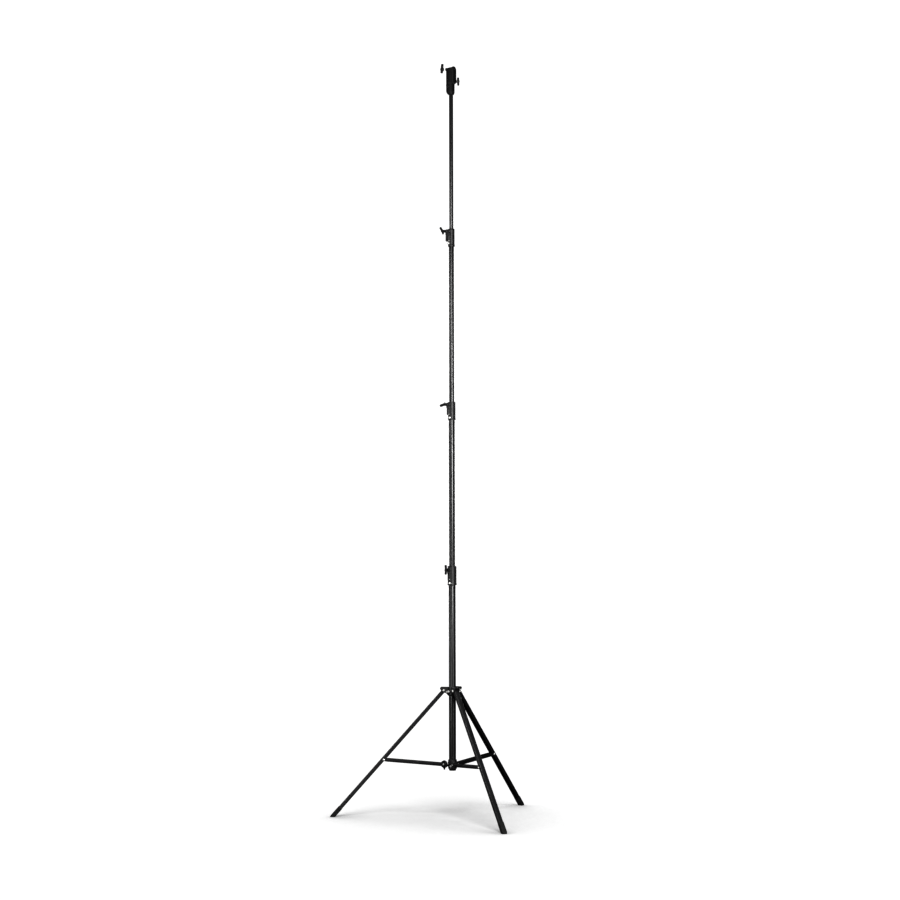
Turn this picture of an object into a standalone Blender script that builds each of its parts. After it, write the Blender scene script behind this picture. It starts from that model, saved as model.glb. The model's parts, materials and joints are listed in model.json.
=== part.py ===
"""Four-section light stand: a telescoping column on a folding tripod, with a socket head.

Metres, +Z up. The origin is on the floor at the middle of the footprint box. Every moving piece is
parented to an empty that stands on its joint's axis. The stand is modelled fully raised with its legs open.
"""
import math

import bmesh
import bpy
from mathutils import Matrix, Vector

# ---- driving dimensions, in millimetres unless said otherwise ----
AXIS_X, AXIS_Y = 123.24, 31.62        # the column's axis, from the middle of the footprint

TUBE_OD = (35.0, 30.0, 25.0, 20.0)    # base tube, then risers 1 to 3
TUBE_ID = (32.0, 27.4, 22.4, 17.0)
TUBE_LOW = (246.0, 1110.0, 1958.0, 2831.0)
TUBE_TOP = (1241.0, 2068.0, 2941.0, 3699.0)
TUBE_SEGS = (28, 28, 24, 24)
BIG, MID, SMALL = 28, 16, 12           # facets round a casting, a boss and a screw

CLAMP_LOW = (1175.0, 2007.0, 2881.0)
CLAMP_TOP = (1271.0, 2098.0, 2971.0)
CLAMP_R = (22.0, 18.6, 16.0)          # outer radius of the sleeve
CLAMP_RIB = (29.0, 28.6, 31.0)        # how far the rib behind the lever reaches
RIB_LOW = (26.0, 26.0, 30.2)          # and how far it reaches below the lever
LEVER_Z = (1251.2, 2085.0, 2957.5)
LEVER_AZ = (-48.0, -60.0, -63.0)      # degrees from the front, towards +X
LEVER_ROLL = (0.0, 104.0, 44.0)       # how the wing stands on its screw
LEVER_OUT = (0.0, 4.0, 7.0)           # how far the lever is backed off
LEVER_BEND = (1.5, 6.5, 2.5)
FIX_AZ = (-29.0, -29.0, -44.0)
FIX_UP = (10.5, 11.5, 16.0)           # fixing screw above the casting's lower edge

LEG_AZ = (24.0, -96.0, 144.0)         # front, left and back leg
LEG_ANGLE = math.radians(41.49)       # each leg's angle from vertical, stand open
LEG_W, LEG_D, LEG_WALL = 23.0, 19.0, 1.8
HUB_R, HUB_Z = 42.4, 645.0            # a leg's pivot
LEG_UP, LEG_LEN = 8.5, 846.0          # the channel above and below its pivot
FLOOR_LEN = HUB_Z / math.cos(LEG_ANGLE)
EAR_IN, EAR_OUT = 12.1, 15.1          # the crown's cheeks, either side of a leg
BRACE_AT, BRACE_OFF = 466.0, 5.0      # where a brace meets its leg, and how far to the inner side
COLLAR_R, COLLAR_Z = 29.0, 270.0      # a brace's pivot on the lower collar
BRACE_LEN = 319.2
BRACE_RISE = math.radians(4.06)
ARM_IN, ARM_OUT, ARM_H = 12.1, 14.6, 16.0
GAP = 0.3

KNOB_AZ, KNOB_Z = -45.0, 277.0        # the knob on the lower collar
CROWN_KNOB_AZ = 204.0
CROWN_SCREW_AZ = (-36.0, 84.0)
HEAD_SCREW_Z = (3774.0, 3714.0)       # upper left and lower right T-screws


# ---- materials ----
def material(name, colour, roughness, metallic):
    mat = bpy.data.materials.new(name)
    mat.use_nodes = True
    shader = mat.node_tree.nodes["Principled BSDF"]
    shader.inputs["Base Color"].default_value = (*colour, 1.0)
    shader.inputs["Roughness"].default_value = roughness
    shader.inputs["Metallic"].default_value = metallic
    mat.diffuse_color = (*colour, 1.0)
    return mat


# ---- shapes, in millimetres ----
def lathe(profile, segs, ring=True):
    """Turns (radius, height) points round Z. A ring's profile closes on itself; a solid's starts and ends on the axis."""
    bm = bmesh.new()
    loops = []
    for radius, height in profile:
        if radius < 1e-6:
            loops.append([bm.verts.new((0.0, 0.0, height))])
            continue
        turn = [2 * math.pi * i / segs for i in range(segs)]
        loops.append([bm.verts.new((radius * math.cos(a), radius * math.sin(a), height)) for a in turn])
    pairs = list(zip(loops, loops[1:]))
    if ring:
        pairs.append((loops[-1], loops[0]))
    for low, high in pairs:
        for i in range(segs):
            j = (i + 1) % segs
            if len(low) == 1 and len(high) > 1:
                bm.faces.new((low[0], high[j], high[i]))
            elif len(high) == 1 and len(low) > 1:
                bm.faces.new((low[i], low[j], high[0]))
            elif len(low) > 1:
                bm.faces.new((low[i], low[j], high[j], high[i]))
    bmesh.ops.recalc_face_normals(bm, faces=bm.faces)
    return bm


def loft(rings):
    """Joins rings of equally many points and caps both ends."""
    bm = bmesh.new()
    loops = [[bm.verts.new(p) for p in ring] for ring in rings]
    count = len(loops[0])
    for low, high in zip(loops, loops[1:]):
        for i in range(count):
            j = (i + 1) % count
            bm.faces.new((low[i], low[j], high[j], high[i]))
    bm.faces.new(loops[0][::-1])
    bm.faces.new(loops[-1])
    bmesh.ops.recalc_face_normals(bm, faces=bm.faces)
    return bm


def prism(outline, low, high, plane="xy"):
    """Extrudes a flat outline. In plane xz the outline is (x, z) and the depth runs along Y, and so on."""
    order = {"xy": lambda a, b, d: (a, b, d), "xz": lambda a, b, d: (a, d, b), "yz": lambda a, b, d: (d, a, b)}[plane]
    return loft([[order(a, b, d) for a, b in outline] for d in (low, high)])


def box(low, high):
    return prism([(low[0], low[1]), (high[0], low[1]), (high[0], high[1]), (low[0], high[1])], low[2], high[2])


def rounded_rect(half_a, half_b, radius, steps):
    points = []
    for k, (sa, sb) in enumerate(((1, 1), (-1, 1), (-1, -1), (1, -1))):
        for i in range(steps + 1):
            angle = math.radians(90 * k + 90 * i / steps)
            points.append((sa * (half_a - radius) + radius * math.cos(angle), sb * (half_b - radius) + radius * math.sin(angle)))
    return points


def arc(centre, radius, start, end, steps):
    turn = [math.radians(start + (end - start) * i / steps) for i in range(steps + 1)]
    return [(centre[0] + radius * math.cos(a), centre[1] + radius * math.sin(a)) for a in turn]


def moved(bm, matrix):
    bmesh.ops.transform(bm, matrix=matrix, verts=bm.verts)
    return bm


def along_x(bm, x=0.0, y=0.0, z=0.0):
    """Lays a shape turned round Z along +X."""
    return moved(bm, Matrix.Translation((x, y, z)) @ Matrix.Rotation(math.pi / 2, 4, "Y"))


def along_y(bm, x=0.0, y=0.0, z=0.0):
    return moved(bm, Matrix.Translation((x, y, z)) @ Matrix.Rotation(-math.pi / 2, 4, "X"))


def rod(radius, low, high, segs=20, chamfer=0.0):
    c = chamfer
    if c:
        return lathe([(0, low), (radius - c, low), (radius, low + c), (radius, high - c), (radius - c, high), (0, high)], segs, ring=False)
    return lathe([(0, low), (radius, low), (radius, high), (0, high)], segs, ring=False)


def boolean(body, tool, operation):
    """Cuts or joins two shapes with Blender's exact solver."""
    pair = []
    for shape in (body, tool):
        mesh = bpy.data.meshes.new("work")
        shape.to_mesh(mesh)
        shape.free()
        obj = bpy.data.objects.new("work", mesh)
        bpy.context.scene.collection.objects.link(obj)
        pair.append(obj)
    modifier = pair[0].modifiers.new("work", "BOOLEAN")
    modifier.operation = operation
    modifier.solver = "EXACT"
    modifier.object = pair[1]
    graph = bpy.context.evaluated_depsgraph_get()
    result = bpy.data.meshes.new_from_object(pair[0].evaluated_get(graph))
    out = bmesh.new()
    out.from_mesh(result)
    for obj in pair:
        mesh = obj.data
        bpy.data.objects.remove(obj, do_unlink=True)
        bpy.data.meshes.remove(mesh)
    bpy.data.meshes.remove(result)
    bmesh.ops.remove_doubles(out, verts=out.verts, dist=2e-4)
    bmesh.ops.dissolve_degenerate(out, dist=2e-4, edges=out.edges)
    return out


def join(body, *tools):
    for tool in tools:
        body = boolean(body, tool, "UNION")
    return body


def cut(body, *tools):
    for tool in tools:
        body = boolean(body, tool, "DIFFERENCE")
    return body


# ---- placing ----
def metres(x, y, z):
    return Vector((x, y, z)) * 0.001


COLUMN = Matrix.Translation(metres(AXIS_X, AXIS_Y, 0))


def radial(azimuth):
    """A frame on the column's axis at floor height: X points outwards at this azimuth, Y to its left, Z up."""
    return COLUMN @ Matrix.Rotation(math.radians(azimuth - 90), 4, "Z")


def at(frame, x, y, z):
    return frame @ Matrix.Translation(metres(x, y, z))


def body_empty(name, matrix, parent=None):
    empty = bpy.data.objects.new(name, None)
    empty.empty_display_size = 0.03
    bpy.context.scene.collection.objects.link(empty)
    attach(empty, matrix, parent)
    return empty


WORLD = {}


def attach(obj, matrix, parent):
    if parent is not None:
        obj.parent = parent
        obj.matrix_parent_inverse = WORLD[parent.name].inverted()
    obj.matrix_basis = matrix
    WORLD[obj.name] = matrix.copy()


def piece(name, bm, mat, matrix, parent, sharp=32.0):
    moved(bm, Matrix.Scale(0.001, 4))
    mesh = bpy.data.meshes.new(name)
    bm.to_mesh(mesh)
    bm.free()
    mesh.materials.append(mat)
    mesh.shade_smooth()
    mesh.set_sharp_from_angle(angle=math.radians(sharp))
    obj = bpy.data.objects.new(name, mesh)
    bpy.context.scene.collection.objects.link(obj)
    attach(obj, matrix, parent)
    return obj


# ---- repeated shapes ----
def tube(index):
    inner, outer = TUBE_ID[index] / 2, TUBE_OD[index] / 2
    low, top = TUBE_LOW[index], TUBE_TOP[index]
    return lathe([(inner, low), (outer, low), (outer, top), (inner, top)], TUBE_SEGS[index])


def clamp_body(index):
    """The casting on top of a tube: a sleeve, a rib that carries the lever's screw, and a boss for the fixing screw."""
    low, top, radius, rib = CLAMP_LOW[index], CLAMP_TOP[index], CLAMP_R[index], CLAMP_RIB[index]
    tube_r, riser_r = TUBE_OD[index] / 2, TUBE_OD[index + 1] / 2
    lever_z = LEVER_Z[index]
    sleeve = lathe(
        [(4.0, low), (radius + 1.0, low), (radius + 1.0, low + 7.0), (radius, low + 10.0),
         (radius, top - 3.0), (radius - 1.5, top), (4.0, top)], BIG)
    rib_top = min(lever_z + 11.0, top - 4.0)
    deep = RIB_LOW[index]
    outline = [(6, low + 24), (deep - 2.0, low + 25.5), (deep, low + 28.5), (deep, lever_z - 20), (rib, lever_z - 14), (rib, rib_top - 4), (rib - 4, rib_top), (6, rib_top)]
    wall = prism(outline, -5.5, 5.5, "xz")
    boss = along_x(rod(9.5 if index == 0 else 8.5, 6.0, rib + 0.6, MID), z=lever_z)
    turn = math.radians(FIX_AZ[index] - LEVER_AZ[index])
    foot = moved(along_x(rod(7.5, 6.0, radius + 3.2, 14), z=low + FIX_UP[index]), Matrix.Rotation(turn, 4, "Z"))
    body = join(sleeve, wall, boss, foot)
    tube_end = TUBE_TOP[index]
    bore = rod(tube_r + GAP, low - 5, top - 4.3, BIG)
    lip = rod(riser_r + 0.5, low - 6, top + 5, BIG)
    thread = moved(along_x(rod(4.4, riser_r + 1.0, rib + 12, 14), z=lever_z), Matrix.Rotation(0.004, 4, "Z"))
    fixing = moved(along_x(rod(2.9, tube_r - 6.0, radius + 12, SMALL), z=low + FIX_UP[index]), Matrix.Rotation(turn + 0.003, 4, "Z"))
    return cut(body, join(bore, lip), thread, fixing)


def pan_screw(shank_r, head_r, tip, seat, height, segs=SMALL):
    """A pan-head screw along Z: the shank from tip to seat, then the head."""
    return lathe([(0, tip), (shank_r, tip), (shank_r, seat), (head_r, seat), (head_r, seat + height * 0.5), (head_r * 0.7, seat + height), (0, seat + height)], segs, ring=False)


def wing(face, up, down, width, thick, bend, lean, taper, hub_r, hub_len, bore_r, bore_len):
    """A cast wing handle that turns about X. Its hub starts at x = face and has a blind hole for the screw."""
    solid = lathe([(0, 0), (hub_r, 0), (hub_r * 0.94, hub_len - 2.6), (hub_r * 0.6, hub_len), (0, hub_len)], MID, ring=False)
    solid = along_x(solid, x=face)
    rings = []
    stations = 8
    for k in range(stations + 1):
        s = -down + (up + down) * k / stations
        reach = s / (up if s > 0 else down)
        t = abs(reach)
        end = math.sqrt(max(0.0, 1 - max(0.0, (t - 0.82) / 0.18) ** 2 * 0.62))
        w = width * (1.0 - 0.16 * t + (0.10 * t if s > 0 else 0.0)) * end
        h = thick * (1.0 - taper * t) * (0.6 + 0.4 * end)
        x = face + hub_len - thick * 0.62 + bend * t * t + lean * s
        ring = [(x + a, b, s) for a, b in rounded_rect(h / 2, w / 2, min(h, w) * 0.36, 1)]
        rings.append(ring)
    blade = loft(rings)
    body = join(solid, blade)
    return cut(body, along_x(rod(bore_r, face - 4, face + bore_len, SMALL)))


def knob(face, radius, length, bore_r, bore_len, lobes=8, depth=1.8, tab=0.0):
    """A lobed hand knob that turns about X, with a blind hole for its screw and, where asked for, a grip tab on its rim."""
    per = 4
    rings = []
    for x, scale in ((0.0, 0.7), (3.0, 1.0), (length - 2.0, 1.0), (length, 0.86)):
        ring = []
        for i in range(lobes * per):
            angle = 2 * math.pi * i / (lobes * per)
            r = (radius - depth * (0.5 - 0.5 * math.cos(lobes * angle))) * scale
            ring.append((face + x, r * math.cos(angle), r * math.sin(angle)))
        rings.append(ring)
    body = loft(rings)
    if tab:
        body = join(body, box((face + 4.2, -3.2, -tab), (face + length - 4.2, 3.2, -radius + 5.0)))
    return cut(body, along_x(rod(bore_r, face - 4, face + bore_len, SMALL)))


def bush(index):
    """The turned plug in a riser's lower end: a flange that runs in the tube outside it, and a spigot inside the riser."""
    low = TUBE_LOW[index]
    flange, spigot = TUBE_ID[index - 1] / 2 - GAP, TUBE_ID[index] / 2 - GAP
    return lathe([(0, low - 8), (flange - 1.0, low - 8), (flange, low - 7), (flange, low - GAP), (spigot, low - GAP), (spigot, low + 12), (0, low + 12)], TUBE_SEGS[index], ring=False)


def leg_channel():
    """A U channel open to the inner side. The pivot is at the origin, the leg runs down -Z and +X is its outer face."""
    d, w, t, c = LEG_D / 2, LEG_W / 2, LEG_WALL, 2.2
    outline = [(-d, w - t), (-d, w), (d - c, w), (d - c * 0.3, w - c * 0.3), (d, w - c), (d, -w + c), (d - c * 0.3, -w + c * 0.3), (d - c, -w),
               (-d, -w), (-d, -w + t), (d - t - 0.8, -w + t), (d - t, -w + t + 0.8), (d - t, w - t - 0.8), (d - t - 0.8, w - t)]
    channel = prism(outline, -LEG_LEN, LEG_UP)
    return cut(channel, along_y(rod(3.4, -20, 20, SMALL)))


def foot_cap():
    """The moulded cap on a leg's end, trimmed flat where it stands on the floor. Same axes as the leg."""
    rings = []
    for s, scale in ((799.0, 1.0), (853.0, 1.0), (860.0, 0.95), (865.5, 0.82), (868.5, 0.6)):
        rings.append([(a, b, -s) for a, b in rounded_rect(11.0 * scale, 13.0 * scale, 3.6 * scale, 2)])
    cap = loft(rings)
    a, b = LEG_D / 2 + GAP, LEG_W / 2 + GAP
    cap = cut(cap, box((-a, -b, -LEG_LEN - 0.6), (a, b, -780.0)))
    normal = Vector((math.sin(LEG_ANGLE), 0.0, math.cos(LEG_ANGLE)))  # straight up, seen from the leg
    floor = Vector((0.0, 0.0, -FLOOR_LEN))
    result = bmesh.ops.bisect_plane(cap, geom=cap.verts[:] + cap.edges[:] + cap.faces[:], plane_co=floor, plane_no=-normal, clear_outer=True, dist=1e-5)
    edges = [e for e in result["geom_cut"] if isinstance(e, bmesh.types.BMEdge)]
    bmesh.ops.edgeloop_fill(cap, edges=edges)
    bmesh.ops.recalc_face_normals(cap, faces=cap.faces)
    return cap


def brace_bar():
    """A folded strut: two arms that straddle the collar's lug and the leg, joined by a web on the upper side."""
    h, end = ARM_H / 2, 7.0
    side = arc((0, 0), end, 250, 110, 5) + [(22, h), (BRACE_LEN - 20, h)] + arc((BRACE_LEN, 0), end, 70, -70, 5) + [(BRACE_LEN - 20, -h), (22, -h)]
    near = prism(side, ARM_IN, ARM_OUT, "xz")
    far = prism(side, -ARM_OUT, -ARM_IN, "xz")
    web = box((34, -ARM_OUT + 0.6, h - 2.2), (190, ARM_OUT - 0.6, h - 0.2))
    bar = join(near, web, far)
    return cut(bar, along_y(rod(2.8, -20, 20, 10)), along_y(rod(2.8, -20, 20, 10), x=BRACE_LEN))


def brace_rivet(side):
    """A rivet in one arm, over the leg's flank. +Y side, mirrored for the other."""
    shape = lathe([(0, 11.85), (2.4, 11.85), (2.4, 14.9), (6.0, 14.9), (6.0, 16.0), (3.6, 17.6), (0, 17.6)], SMALL, ring=False)
    shape = along_y(shape)
    if side < 0:
        moved(shape, Matrix.Rotation(math.pi, 4, "Z"))
    return shape


def crown_casting():
    hub = lathe([(16.0, 619), (23.0, 619), (26.0, 624), (26.0, 657), (24.5, 661.3), (16.0, 661.3)], 36)
    for azimuth in LEG_AZ:
        turn = Matrix.Rotation(math.radians(azimuth - 90), 4, "Z")
        z = HUB_Z
        cheek = [(21.0, z - 21), (26.5, z - 19), (31, z - 12), (45, z - 12), (51, z - 7), (61, z + 7), (61.5, z + 12), (58, z + 16.5), (21.0, z + 16)]
        blocks = [prism(cheek, EAR_IN, EAR_OUT, "xz"), prism(cheek, -EAR_OUT, -EAR_IN, "xz"),
                  prism([(21.0, z + 13.2), (58.6, z + 13.2), (59.8, z + 14.4), (57.7, z + 16.2), (21.0, z + 15.7)], -EAR_IN - 1.0, EAR_IN + 1.0, "xz")]
        for block in blocks:
            hub = join(hub, moved(block, turn))
    for azimuth in CROWN_SCREW_AZ:
        hub = join(hub, moved(along_x(rod(7.5, 21.0, 32.0, 14), z=640), Matrix.Rotation(math.radians(azimuth - 90), 4, "Z")))
    hub = join(hub, moved(along_x(rod(9.5, 21.0, 34.0, MID), z=640), Matrix.Rotation(math.radians(CROWN_KNOB_AZ - 90), 4, "Z")))
    hub = cut(hub, rod(19.8, 600, 700, 36))
    for azimuth in LEG_AZ:
        hub = cut(hub, moved(along_y(rod(3.4, -24, 24, SMALL), x=HUB_R, z=HUB_Z), Matrix.Rotation(math.radians(azimuth - 90), 4, "Z")))
    for azimuth, bore in ((CROWN_SCREW_AZ[0], 3.3), (CROWN_SCREW_AZ[1], 3.3), (CROWN_KNOB_AZ, 4.4)):
        hub = cut(hub, moved(along_x(rod(bore, 15, 45, SMALL), z=640), Matrix.Rotation(math.radians(azimuth - 90), 4, "Z")))
    return hub


def leg_bolt():
    """Bolt and nut through the crown's cheeks, along Y."""
    return along_y(lathe([(0, -21.0), (3.0, -21.0), (3.0, -19.2), (6.2, -19.2), (6.2, -15.5), (3.0, -15.5), (3.0, 15.5), (5.8, 15.5), (5.8, 17.8), (3.4, 20.0), (0, 20.0)],
                         SMALL, ring=False))


def hand_screw(tip, end, radius=4.0):
    return along_x(rod(radius, tip, end, SMALL))


def collar():
    ring = lathe([(14.0, 250.3), (22.0, 250.3), (22.0, 294.5), (20.4, 296.3), (14.0, 296.3)], BIG)
    z = COLLAR_Z
    # each lug is full width round its pin, and its nose is narrow enough to enter the folded leg's channel
    lug = [(19.5, z - 9.5), (26.0, z - 7.5), (32.3, z - 6.7), (32.3, z + 6.7), (26.0, z + 8.5), (19.5, z + 16)]
    nose = [(19.5, z - 7.0), (26.0, z - 7.2)] + arc((COLLAR_R, z), 7.5, -70, 70, 5) + [(26.0, z + 8.0), (19.5, z + 14)]
    for azimuth in LEG_AZ:
        turn = Matrix.Rotation(math.radians(azimuth - 90), 4, "Z")
        ring = join(ring, moved(prism(lug, -11.6, 11.6, "xz"), turn), moved(prism(nose, -9.3, 9.3, "xz"), turn))
    turn = Matrix.Rotation(math.radians(KNOB_AZ - 90), 4, "Z")
    ring = join(ring, moved(along_x(rod(6.0, 19.5, 33.0, 14), z=KNOB_Z), turn))
    ring = cut(ring, rod(17.8, 230, 320, BIG), moved(along_x(rod(4.4, 10, 45, SMALL), z=KNOB_Z), turn))
    for azimuth in LEG_AZ:
        ring = cut(ring, moved(along_y(rod(2.8, -20, 20, 10), x=COLLAR_R, z=COLLAR_Z), Matrix.Rotation(math.radians(azimuth - 90), 4, "Z")))
    return cut(ring, moved(along_x(rod(2.9, 10, 40, 10), z=264.0), Matrix.Rotation(math.radians(-24.0 - 90), 4, "Z")))


def brace_pin():
    return along_y(lathe([(0, -17.2), (4.4, -17.2), (4.4, -14.9), (2.4, -14.9), (2.4, 14.9), (4.4, 14.9), (4.4, 17.2), (0, 17.2)], 10, ring=False))


def head_casting():
    """Socket head: the riser enters from below, a small socket and a wide receiver open upwards."""
    count = 28
    turn = [2 * math.pi * i / count for i in range(count)]

    def ring(cx, radius, z):
        return [(cx + radius * math.cos(a), radius * math.sin(a), z) for a in turn]

    shell = loft([ring(0.0, 14.2, 3646.0), ring(-1.2, 17.0, 3650.0), ring(-2.6, 20.2, 3657.0), ring(-3.2, 21.1, 3664.0), ring(-3.2, 21.1, 3699.5),
                  ring(-1.0, 22.8, 3701.0), ring(1.1, 25.4, 3706.5), ring(1.1, 25.4, 3800.0)])
    lid = [(-40, 3600), (-40, 3774.5), (-24.5, 3776.5), (-21.5, 3778.5), (3.0, 3783.0)] + arc((13.0, 3775.5), 11.5, 145, 20, 5) + [(27.5, 3768.5), (40, 3764.0), (40, 3600)]
    shell = boolean(shell, prism(lid, -40, 40, "xz"), "INTERSECT")
    front = prism([(2.3, -27.2), (13.0, -25.2), (13.0, -15), (2.3, -15)], 3704.0, 3773.5)
    left = along_x(rod(7.2, 12.0, 27.0, MID), z=0)
    left = moved(left, Matrix.Translation((0, 0, HEAD_SCREW_Z[0])) @ Matrix.Rotation(math.pi, 4, "Z"))
    right = along_x(rod(8.5, 10.0, 28.6, MID), z=HEAD_SCREW_Z[1])
    eye = moved(along_x(rod(8.6, 8.0, 26.0, MID), z=3690.0), Matrix.Rotation(math.radians(-48 - 90), 4, "Z"))
    shell = join(shell, front, left, right, eye)
    riser = rod(TUBE_OD[3] / 2 + GAP, 3630.0, 3699.6, 24)
    socket = rod(8.2, 3703.0, 3760.0, 24)
    receiver = rod(14.5, 3730.0, 3790.0, BIG)
    shell = cut(shell, riser, join(socket, receiver))
    shell = cut(shell, moved(along_x(rod(4.4, 10.0, 40.0, SMALL)), Matrix.Translation((0, 0, HEAD_SCREW_Z[0])) @ Matrix.Rotation(math.pi, 4, "Z")))
    shell = cut(shell, along_x(rod(4.4, 5.0, 40.0, SMALL), z=HEAD_SCREW_Z[1]))
    return cut(shell, moved(along_x(rod(3.0, 8.5, 40.0, SMALL), z=3690.0), Matrix.Rotation(math.radians(-48 - 90), 4, "Z")))


# ---- the stand ----
def main():
    for obj in list(bpy.data.objects):
        bpy.data.objects.remove(obj, do_unlink=True)
    anodised = material("anodised_black", (0.030, 0.030, 0.032), 0.36, 0.85)
    painted = material("cast_black", (0.022, 0.022, 0.023), 0.48, 0.35)
    moulded = material("moulded_black", (0.018, 0.018, 0.018), 0.42, 0.0)
    rubber = material("rubber_black", (0.016, 0.016, 0.016), 0.75, 0.0)
    bright = material("steel_bright", (0.62, 0.62, 0.60), 0.26, 1.0)
    nylon = material("nylon_grey", (0.10, 0.10, 0.10), 0.5, 0.0)

    base = body_empty("body_base", at(COLUMN, 0, 0, 0))
    piece("base_tube", tube(0), anodised, COLUMN, base)
    piece("base_plug", lathe([(0, 241), (16.0, 241), (17.2, 242.2), (17.2, 245.7), (15.7, 245.7), (15.7, 262), (0, 262)], BIG, ring=False), moulded, COLUMN, base)
    piece("lower_collar", collar(), painted, COLUMN, base)
    piece("collar_fixing_screw", along_x(pan_screw(2.5, 5.5, 18.0, 22.3, 3.2)), bright, at(radial(-24.0), 0, 0, 264.0), base)
    turn = at(radial(KNOB_AZ), 0, 0, KNOB_Z)
    knob_body = body_empty("body_collar_knob", turn, base)
    piece("collar_knob", knob(50.5, 19.5, 15.0, 4.3, 9.0, tab=27.0), moulded, turn, knob_body)
    piece("collar_knob_screw", hand_screw(18.1, 59.2), bright, turn, knob_body)

    crown = body_empty("body_crown", at(COLUMN, 0, 0, HUB_Z), base)
    piece("crown_casting", crown_casting(), painted, COLUMN, crown)
    piece("crown_sleeve", lathe([(17.8, 617.5), (19.5, 617.5), (19.5, 662.7), (17.8, 662.7)], BIG), nylon, COLUMN, crown)
    for name, azimuth in zip("ab", CROWN_SCREW_AZ):
        screw = lathe([(0, 19.9), (3.0, 19.9), (3.0, 32.3), (5.6, 32.3), (5.6, 36.2), (3.0, 36.2), (3.0, 43.5), (5.2, 43.5), (5.2, 48.5), (0, 48.5)], SMALL, ring=False)
        piece("crown_screw_" + name, along_x(screw), bright, at(radial(azimuth), 0, 0, 640.0), crown)
    turn = at(radial(CROWN_KNOB_AZ), 0, 0, 640.0)
    knob_body = body_empty("body_crown_knob", turn, crown)
    piece("crown_knob", knob(46.0, 18.0, 15.0, 4.3, 9.0), moulded, turn, knob_body)
    piece("crown_knob_screw", hand_screw(19.9, 54.7), bright, turn, knob_body)

    for n, azimuth in enumerate(LEG_AZ, 1):
        frame = radial(azimuth)
        piece(f"leg_bolt_{n}", leg_bolt(), bright, at(frame, HUB_R, 0, HUB_Z), crown)
        tilt = at(frame, HUB_R, 0, HUB_Z) @ Matrix.Rotation(-LEG_ANGLE, 4, "Y")
        leg = body_empty(f"body_leg_{n}", tilt, crown)
        piece(f"leg_{n}", leg_channel(), anodised, tilt, leg)
        piece(f"leg_{n}_foot", foot_cap(), rubber, tilt, leg)
        rise = at(frame, COLLAR_R, 0, COLLAR_Z) @ Matrix.Rotation(-BRACE_RISE, 4, "Y")
        piece(f"brace_pin_{n}", brace_pin(), bright, at(frame, COLLAR_R, 0, COLLAR_Z), base)
        brace = body_empty(f"body_brace_{n}", rise, base)
        piece(f"brace_{n}", brace_bar(), anodised, rise, brace)
        tip = rise @ Matrix.Translation(metres(BRACE_LEN, 0, 0))
        piece(f"brace_{n}_rivet_a", brace_rivet(1), bright, tip, brace)
        piece(f"brace_{n}_rivet_b", brace_rivet(-1), bright, tip, brace)

    carrier = base
    for k in range(3):
        n = k + 1
        tube_r = TUBE_OD[k] / 2
        frame = radial(LEVER_AZ[k])
        piece(f"clamp_{n}_body", clamp_body(k), painted, frame, carrier)
        riser_r = TUBE_OD[n] / 2
        low, top = TUBE_TOP[k] + GAP, CLAMP_TOP[k] - 4.3 - GAP
        liner = lathe([(riser_r + GAP, low), (tube_r, low), (tube_r, top), (riser_r + GAP, top)], 24)
        piece(f"clamp_{n}_liner", liner, nylon, COLUMN, carrier)
        screw = along_x(pan_screw(2.5, 6.0, tube_r + 0.5, CLAMP_R[k] + 3.5, 3.4))
        piece(f"clamp_{n}_fixing_screw", screw, bright, at(radial(FIX_AZ[k]), 0, 0, CLAMP_LOW[k] + FIX_UP[k]), carrier)
        turn = at(frame, 0, 0, LEVER_Z[k])
        lever = body_empty(f"body_clamp_{n}_lever", turn, carrier)
        roll = turn @ Matrix.Rotation(math.radians(LEVER_ROLL[k]), 4, "X")
        face = CLAMP_RIB[k] + 1.8
        piece(f"clamp_{n}_lever", wing(face, 26.0, 22.0, 13.5, 9.5, LEVER_BEND[k], 0.0, 0.25, 6.8, 17.2 + LEVER_OUT[k], 4.3, 7.0), moulded, roll, lever)
        piece(f"clamp_{n}_screw", hand_screw(tube_r + 0.5, face + 6.6), bright, turn, lever)
        slide = body_empty(f"body_riser_{n}_bush", at(COLUMN, 0, 0, TUBE_LOW[n]), base if k == 0 else riser)
        piece(f"riser_{n}_bush", bush(n), nylon, COLUMN, slide)
        riser = body_empty(f"body_riser_{n}", at(COLUMN, 0, 0, TUBE_LOW[n]), slide)
        piece(f"riser_{n}_tube", tube(n), anodised, COLUMN, riser)
        carrier = riser

    piece("head_casting", head_casting(), painted, COLUMN, riser)
    piece("head_fixing_screw", along_x(pan_screw(2.6, 6.2, 10.5, 26.4, 3.0)), bright, at(radial(-48.0), 0, 0, 3690.0), riser)
    turn = at(radial(-90.0), 0, 0, HEAD_SCREW_Z[0])
    body = body_empty("body_head_upper_handle", turn, riser)
    piece("head_upper_handle", wing(35.5, 27.6, 19.0, 15.0, 13.5, 0.0, -0.08, 0.12, 7.4, 18.3, 4.3, 7.0), moulded, turn, body)
    piece("head_upper_screw", hand_screw(14.8, 42.1), bright, turn, body)
    turn = at(radial(90.0), 0, 0, HEAD_SCREW_Z[1])
    body = body_empty("body_head_lower_handle", turn, riser)
    piece("head_lower_handle", wing(29.8, 19.0, 21.0, 13.0, 11.0, 0.0, -0.03, 0.12, 7.2, 13.2, 4.3, 6.5), moulded, turn, body)
    piece("head_lower_screw", hand_screw(8.6, 35.9), bright, turn, body)


main()
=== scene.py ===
"""Looks for the four-section light stand: finer surfaces, finishes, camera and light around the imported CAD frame.

Shapes are worked out in millimetres and placed in metres, on the same axes as the CAD parts that they stand for.
"""
import json
import math

import bmesh
import bpy
from mathutils import Matrix, Vector

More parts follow.
